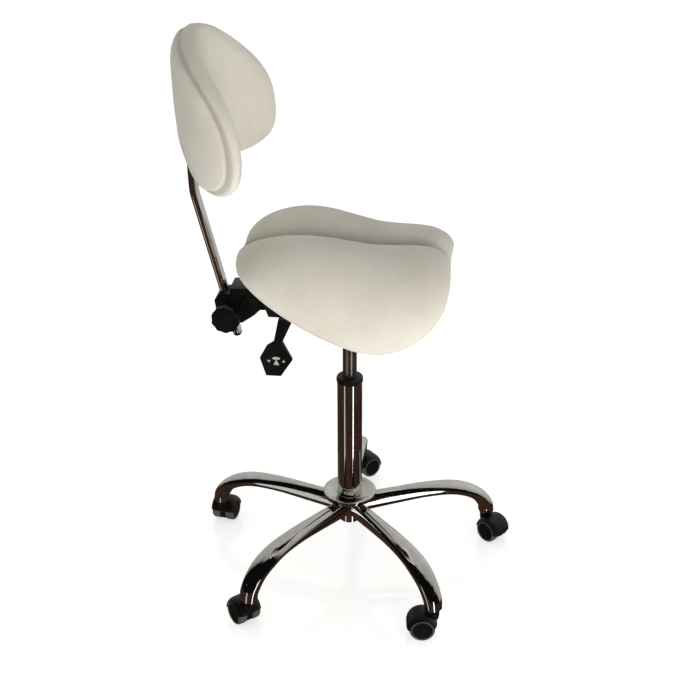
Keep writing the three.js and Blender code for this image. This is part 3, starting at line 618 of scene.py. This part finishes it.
for node, name, finish, edge in (
        ("mechanism_housing", "folded_housing", "black_steel", 1.2),
        ("mechanism_plate", "top_plate", "black_steel", 0.8),
        ("back_bracket", "bracket_cheeks", "black_steel", 1.2),
        ("bar_clamp", "clamp_block", "black_plastic", 1.6),
        ("bracket_bolt", "bracket_screw", "bare_steel", 0.6),
        ("tilt_pivot_bolt", "pivot_screw", "black_steel", 0.8),
        ("bar_end_plug", "bar_foot", "black_plastic", 0.8)):
    piece = eased(node, name, finish, edge)
    print(name, len(piece.data.polygons), "faces")
for node, finish in [("thrust_bearing", "bare_steel"), ("bump_stop", "black_rubber"),
                     ("piston_rod", "bare_steel"), ("retaining_clip", "bare_steel"),
                     ("release_pin", "bare_steel"), ("taper_socket", "black_steel"),
                     ("clamp_shoe", "bare_steel"), ("clamp_screw", "bare_steel"),
                     ("seat_board", "plywood"), ("backrest_board", "plywood"),
                     *[(f"castor_{number}_{part}", "bare_steel")
                       for number in range(1, ARMS + 1) for part in ("stem", "axle")]]:
    kept = frame["nodes"][node]
    kept.data.materials.clear()
    kept.data.materials.append(FINISHES[finish])

# %% [markdown]
# ## Back bar
# The bar is a flat-oval chromed steel strip that leans back from the clamp and turns
# upright where it enters the backrest. It is rolled round its line like the arms.

# %% Bar
BAR_LEAN = math.tan(math.radians(13.6))
BAR_FOOT = (-222.5, 519)
BAR_BEND = 798
BAR_TOP = 958
BAR_HALF_WIDTH = 15
BAR_HALF_DEPTH = 7.7
BAR_ROUND = 0.62


def bar_forward(z):
    over = max(0.0, z - BAR_BEND)
    return BAR_FOOT[0] - (z - BAR_FOOT[1]) * BAR_LEAN + BAR_LEAN * over * over / (over + 14)


def bar_point(u, v):
    z = BAR_FOOT[1] + (BAR_TOP - BAR_FOOT[1]) * v
    width = BAR_HALF_WIDTH * rounded(math.cos(math.tau * u), BAR_ROUND)
    depth = BAR_HALF_DEPTH * rounded(math.sin(math.tau * u), BAR_ROUND)
    return row(width, -bar_forward(z) - depth, z)


bar = settle(wrapped(40, 60, bar_point), "leaning_bar", "back_post", "chrome", "back_bar", crease=60)
print("bar", round(bar.dimensions.z, 3), "m tall")

# %% [markdown]
# ## Hand knob and lever
# The knob is a moulded nylon disc whose rim has soft lobes for the fingers: its section
# is spun about the screw's axis and the rim is then drawn in and out. The lever is a
# bent rod that ends in a flat paddle. A small stool sign between a down and an up arrow
# is printed on it.

# %% Knob
LOBES = 10
LOBE_DEPTH = 0.032
knob_low, knob_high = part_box("clamp_knob")
knob_face = Vector((knob_low.x, (knob_low.y + knob_high.y) / 2, (knob_low.z + knob_high.z) / 2))
knob_profile = [(0.8, 0), (0.5, 12), (0, 20), (0.6, 23.6), (2.2, 25.8), (4.5, 26.8), (13, 27),
                (15.6, 26), (17, 23.6), (17.4, 15), (19, 12.4), (37, 11), (37.4, 10.4), (37.4, 5.6)]
bm = bmesh.new()
corners = [bm.verts.new(knob_face + Vector((across, 0, r)) * MM) for across, r in knob_profile]
edges = [bm.edges.new(pair) for pair in zip(corners, corners[1:])]
bmesh.ops.spin(bm, geom=corners + edges, cent=knob_face, axis=(1, 0, 0), angle=math.tau,
               steps=LOBES * 10, use_merge=True)
for vert in bm.verts:
    out = vert.co - knob_face
    reach = math.hypot(out.y, out.z)
    if reach > 21 * MM:
        grip = 1 + LOBE_DEPTH * math.cos(LOBES * math.atan2(out.y, out.z)) * min(1, (reach / MM - 21) / 5)
        vert.co = knob_face + Vector((out.x, out.y * grip, out.z * grip))
bmesh.ops.remove_doubles(bm, verts=bm.verts, dist=1e-6)
bmesh.ops.holes_fill(bm, edges=[e for e in bm.edges if e.is_boundary], sides=0)
knob = settle(bm, "hand_knob", "knob", "black_plastic", "clamp_knob", crease=40)
print("knob", [round(v * 1000, 1) for v in knob.dimensions], "mm")

# %% Lever rod and paddle
LEVER_CORNERS = [(6, 0, 637.5), (-48, 2, 637.5), (-78, 40, 624), (-117, 106, 602)]
lever_line = smooth_line([row(*corner) for corner in LEVER_CORNERS])


def rod_point(u, v):
    at, way = on_line(lever_line, v)
    side = way.cross(Vector((0, 0, 1))).normalized()
    over = side.cross(way).normalized()
    return at + (side * math.cos(math.tau * u) + over * math.sin(math.tau * u)) * 4 * MM


settle(wrapped(20, 48, rod_point), "lever_bar", "lever", "black_steel", "lever_rod")
paddle = eased("lever_paddle", "lever_handle", "black_plastic", 1.8)
print("paddle", [round(v * 1000, 1) for v in paddle.dimensions], "mm")


# %% Mark on the paddle
ink, tree, shade, place = begin("pale_grey_pad_print", "#B9BAB8", Roughness=0.5)
speck = add_node(tree, "ShaderNodeTexNoise", {"Scale": 900.0, "Detail": 2.0}, {"Vector": place})
fade = add_node(tree, "ShaderNodeValToRGB", {"stops": [(0.3, "#8F908E"), (0.6, "#C4C5C3")]},
                {"Fac": speck.outputs["Fac"]})
tree.links.new(fade.outputs["Color"], shade.inputs["Base Color"])
face_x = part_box("lever_paddle")[0].x
mark_middle = Vector((row(-129.5, 0, 0).x - 0.00005, row(0, 123, 0).y, row(0, 0, 523).z))
bm = bmesh.new()
stand = Matrix.Rotation(math.radians(90), 4, "Z") @ Matrix.Rotation(math.radians(90), 4, "X")
for across, half_turn in ((-14, 180), (14, 0)):
    tip = bmesh.ops.create_circle(bm, cap_ends=True, segments=3, radius=3.6 * MM)["verts"]
    spin = Matrix.Rotation(math.radians(half_turn), 4, "Z")
    bmesh.ops.transform(bm, verts=tip, matrix=Matrix.Translation((0, -across * MM, 0)) @ stand @ spin)
for corners, level, wide, tall in ((24, 6, 7.5, 2.8), (3, -4, 6.5, 7.5)):
    shape = bmesh.ops.create_circle(bm, cap_ends=True, segments=corners, radius=MM)["verts"]
    bmesh.ops.transform(bm, verts=shape, matrix=Matrix.Translation((0, 0, level * MM)) @ stand
                        @ Matrix.Diagonal((wide, tall, 1, 1)))
bmesh.ops.solidify(bm, geom=bm.faces, thickness=0.12 * MM)
bmesh.ops.translate(bm, verts=bm.verts, vec=mark_middle)
mark = settle(bm, "paddle_mark", "lever", "black_plastic")
mark.data.materials.clear()
mark.data.materials.append(ink)
print("mark stands", round((face_x - min(v.co.x for v in mark.data.vertices)) * 1000, 2), "mm proud")


# %% [markdown]
# ## Padding
# Seat and backrest are moulded foam under a tight leatherette cover. The form is drawn
# first, remeshed to an even net of about 5 mm, and then blown up a little as cloth, as a
# stretched cover swells over foam. Its glued side stays held, and no point may travel
# further than a few millimetres, so the size stays what the frame says.

# %% Swelling a pad
def remeshed(bm, name, voxel):
    bmesh.ops.remove_doubles(bm, verts=bm.verts, dist=1e-6)
    bmesh.ops.recalc_face_normals(bm, faces=bm.faces)
    piece = bpy.data.objects.new(name, bpy.data.meshes.new(name))
    bm.to_mesh(piece.data)
    bm.free()
    bpy.context.scene.collection.objects.link(piece)
    net = piece.modifiers.new("net", "REMESH")
    net.mode = "VOXEL"
    net.voxel_size = voxel
    return flattened(piece)


def flattened(piece):
    """The piece with its modifiers made into its mesh."""
    ready = piece.evaluated_get(bpy.context.evaluated_depsgraph_get())
    piece.data = bpy.data.meshes.new_from_object(ready)
    piece.modifiers.clear()
    return piece


def swollen(piece, held, travel, pressure=4.0):
    """Blows the cover up; held(co) is true where it is glued, travel(co) caps its way in metres."""
    home = [v.co.copy() for v in piece.data.vertices]
    glued = piece.vertex_groups.new(name="glued")
    glued.add([v.index for v in piece.data.vertices if held(v.co)], 1.0, "REPLACE")
    cover = piece.modifiers.new("cover", "CLOTH")
    cover.settings.use_pressure = True
    cover.settings.uniform_pressure_force = pressure
    cover.settings.vertex_group_mass = "glued"
    cover.settings.effector_weights.gravity = 0
    for moment in range(1, 21):
        bpy.context.scene.frame_set(moment)
    flattened(piece)
    bpy.context.scene.frame_set(1)
    for vert, start in zip(piece.data.vertices, home):
        moved = vert.co - start
        vert.co = start + moved.normalized() * min(moved.length, travel(start))
    return piece


def shade_creases(piece, depth):
    """Gives each point of a pad its crease value of painted shade, 0 on open skin and near 1 in a seam."""
    crease = piece.data.attributes.new("crease", "FLOAT", "POINT")
    crease.data.foreach_set("value", [min(1.0, depth(v.co)) for v in piece.data.vertices])


def evened(piece, rounds=1, factor=0.5):
    """Relaxes the net so that no voxel step shows, then doubles its fineness."""
    bm = bmesh.new()
    bm.from_mesh(piece.data)
    for _ in range(rounds):
        bmesh.ops.smooth_vert(bm, verts=bm.verts, factor=factor, use_axis_x=True, use_axis_y=True,
                              use_axis_z=True)
    bm.to_mesh(piece.data)
    bm.free()
    finer = piece.modifiers.new("finer", "SUBSURF")
    finer.levels = finer.render_levels = 1
    return flattened(piece)


# %% [markdown]
# ## Seat
# The saddle's cushion is a thick lens bent down over the hips, with a lobe for each
# thigh and a deep crease between them that fades out over the nose. The CAD solid has that
# form in coarse facets, so a merged copy of it is rounded by subdivision first.

# %% Seat cushion
CREASE_DEPTH = 20
CREASE_WIDTH = 7
SHADE_WIDTH = 9
bm = bmesh.new()
bm.from_mesh(frame["nodes"]["seat_cushion"].data)
bmesh.ops.remove_doubles(bm, verts=bm.verts, dist=1e-5)
rounder = bpy.data.objects.new("rounder", bpy.data.meshes.new("rounder"))
bm.to_mesh(rounder.data)
bm.free()
bpy.context.scene.collection.objects.link(rounder)
ease = rounder.modifiers.new("ease", "SUBSURF")
ease.levels = ease.render_levels = 2
flattened(rounder)
bm = bmesh.new()
bm.from_mesh(rounder.data)
bpy.data.objects.remove(rounder)
board_low, board_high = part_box("seat_board")


def under_board(co):
    return (co.z < board_high.z + 0.004 and board_low.x - 0.01 < co.x < board_high.x + 0.01
            and board_low.y - 0.01 < co.y < board_high.y + 0.01)


seat = evened(swollen(remeshed(bm, "saddle_cushion", 0.005), under_board, lambda co: 0.004), 3)


def seat_place(co):
    """How far a point lies beside the middle and ahead of the column, in mm."""
    return abs(co.x - AXIS.x) / MM, (AXIS.y - co.y) / MM


def crease_share(co, normal_z):
    """0 to 1: how much of the crease between the lobes a point of the top has."""
    across, forward = seat_place(co)
    nose = clamped((215 - forward) / 90)
    return nose * clamped((normal_z + 0.2) / 0.5) * math.exp(-across / CREASE_WIDTH)


# Painted shade in the crease between the lobes: darkest on its line, fading out towards the nose.
def crease_shade(co):
    across, forward = seat_place(co)
    if co.z <= board_high.z + 0.02:
        return 0.0
    return math.exp(-across / SHADE_WIDTH) * clamped((190 - forward) / 70)


normals = [v.normal.copy() for v in seat.data.vertices]
for vert, normal in zip(seat.data.vertices, normals):
    vert.co -= normal * CREASE_DEPTH * crease_share(vert.co, normal.z) * MM
shade_creases(seat, crease_shade)
dress(seat, "seat", "ivory_leatherette", "seat_cushion", crease=180)
print("seat", len(seat.data.polygons), "faces", [round(v, 3) for v in seat.dimensions])

# %% [markdown]
# ## Backrest
# The backrest is a board bent round an upright arc. Its thick front pad rolls over the
# rim and is sewn to a thinner rear cover a little behind it. Each half starts as a ball
# whose points are sent to the bent form and out along a dome, so both turn over softly
# into the seam; the tight thread puckers the skin beside it.

# %% Backrest form
ARC_MIDDLE = 75
ARC_RADIUS = 208
HALF_ANGLE = math.radians(61.5)
BACK_MIDDLE = 981
BACK_HALF_HEIGHT = 131
WING_DROP = 55
PAD_FRONT = 31.5
COVER_REAR = 14.5
ROLL = 23
COVER_SHARE = 0.95
TUCK = 7
SQUARE = 2.5
DOME = 1 / 2.2
DROP_BEND = 1.6
PUCKER_REACH = 16
SEAM_DEPTH = 3.2


def lean_back(angle, z):
    upright = 0.09 * (0.6 + 0.4 * math.cos(angle))
    return upright * (1050 - z) + 0.0043 * max(0, z - 1050) ** 2


def back_point(u, v, forward):
    z = BACK_MIDDLE - WING_DROP * abs(u) ** DROP_BEND + v * BACK_HALF_HEIGHT
    angle = HALF_ANGLE * u
    reach = ARC_RADIUS - forward
    return row(reach * math.sin(angle), reach * math.cos(angle) + ARC_MIDDLE - lean_back(angle, z), z)


def back_place(co):
    """The reverse of back_point: share of the way to the rim, height share, and how far forward."""
    place = (co - AXIS) / MM
    angle = 0.0
    for _ in range(4):
        y = place.y - ARC_MIDDLE + lean_back(angle, place.z)
        angle = math.atan2(place.x, y)
    u = abs(angle) / HALF_ANGLE
    v = (place.z - BACK_MIDDLE + WING_DROP * u ** DROP_BEND) / BACK_HALF_HEIGHT
    return (u ** SQUARE + abs(v) ** SQUARE) ** (1 / SQUARE), v, ARC_RADIUS - math.hypot(place.x, y)


def roll_back(share, v):
    """The pad's back: its edge rolls over backwards and in to the seam, most at the top."""
    return -(ROLL + 9 * max(0.0, v)) * math.sqrt(max(0.0, 1 - share ** 8))


def pad_forward(share, u, v, front):
    return PAD_FRONT * (1 - share ** 4) ** DOME if front else roll_back(share, v)


def cover_forward(share, u, v, rear):
    if not rear:
        return roll_back(share * COVER_SHARE, v) + TUCK
    across = math.sin(HALF_ANGLE * u) * ARC_RADIUS
    spine = (12 - 5 * v) * math.exp(-(across / 42) ** 2)
    dome = (COVER_REAR + spine - 8 * max(0.0, v)) * (1 - share ** 4) ** DOME
    return roll_back(COVER_SHARE, v) - dome


# %% Backrest halves
def back_half(reach, forward):
    """A ball sent to the bent form: its upper half shows, its lower half is sewn under."""
    bm = bmesh.new()
    bmesh.ops.create_uvsphere(bm, u_segments=128, v_segments=64, radius=1)
    for vert in bm.verts:
        x, y, z = vert.co
        flat = max(1e-6, math.hypot(x, y))
        square = max(1e-9, abs(x / flat) ** SQUARE + abs(y / flat) ** SQUARE) ** (-1 / SQUARE)
        share = min(1.0, math.acos(min(1.0, abs(z))) / (math.pi / 2))
        u, v = x / flat * square * share * reach, y / flat * square * share * reach
        vert.co = back_point(u, v, forward(share, u, v, z > 0))
    return bm


for name, reach, forward, node in (("front_pad", 1.0, pad_forward, "backrest_pad"),
                                   ("rear_cover", COVER_SHARE, cover_forward, "backrest_rear_cover")):
    side = 1 if name == "front_pad" else -1

    def from_seam(co):
        """How far a point lies from the seam, in mm."""
        share, height, ahead = back_place(co)
        return math.hypot(ahead - roll_back(COVER_SHARE, height), (share - COVER_SHARE) * BACK_HALF_HEIGHT)

    def glued_side(co):
        share, height, ahead = back_place(co)
        return side * (ahead - roll_back(COVER_SHARE, height)) < 3 and share < 0.97

    half = swollen(remeshed(back_half(reach, forward), name, 0.0045), glued_side,
                   lambda co: min(0.003, max(0.0, from_seam(co) - 4) * 0.0002))
    half = evened(half, 2)
    normals = [v.normal.copy() for v in half.data.vertices]
    for vert, normal in zip(half.data.vertices, normals):
        gap = from_seam(vert.co)
        if gap < PUCKER_REACH:
            pucker = noise.noise(vert.co * 90) * 0.5 + noise.noise(vert.co * 200) * 0.2
            raised = pucker * math.sin(math.pi * gap / PUCKER_REACH)
            vert.co += normal * MM * (raised - SEAM_DEPTH * math.exp(-(gap / 4) ** 2))
    # Painted shade along the seam, darkest on its line.
    shade_creases(half, lambda co: 0.9 * math.exp(-(from_seam(co) / 3.2) ** 2))
    dress(half, "back_post", "ivory_leatherette", node, crease=180)
    print(name, len(half.data.polygons), "faces", [round(v, 3) for v in half.dimensions])

# %% [markdown]
# ## Closing
# The view layer is brought up to date at the end. Fabric may stand a little proud of
# the CAD, nothing else may.

# %% Last update
bpy.context.view_layer.update()
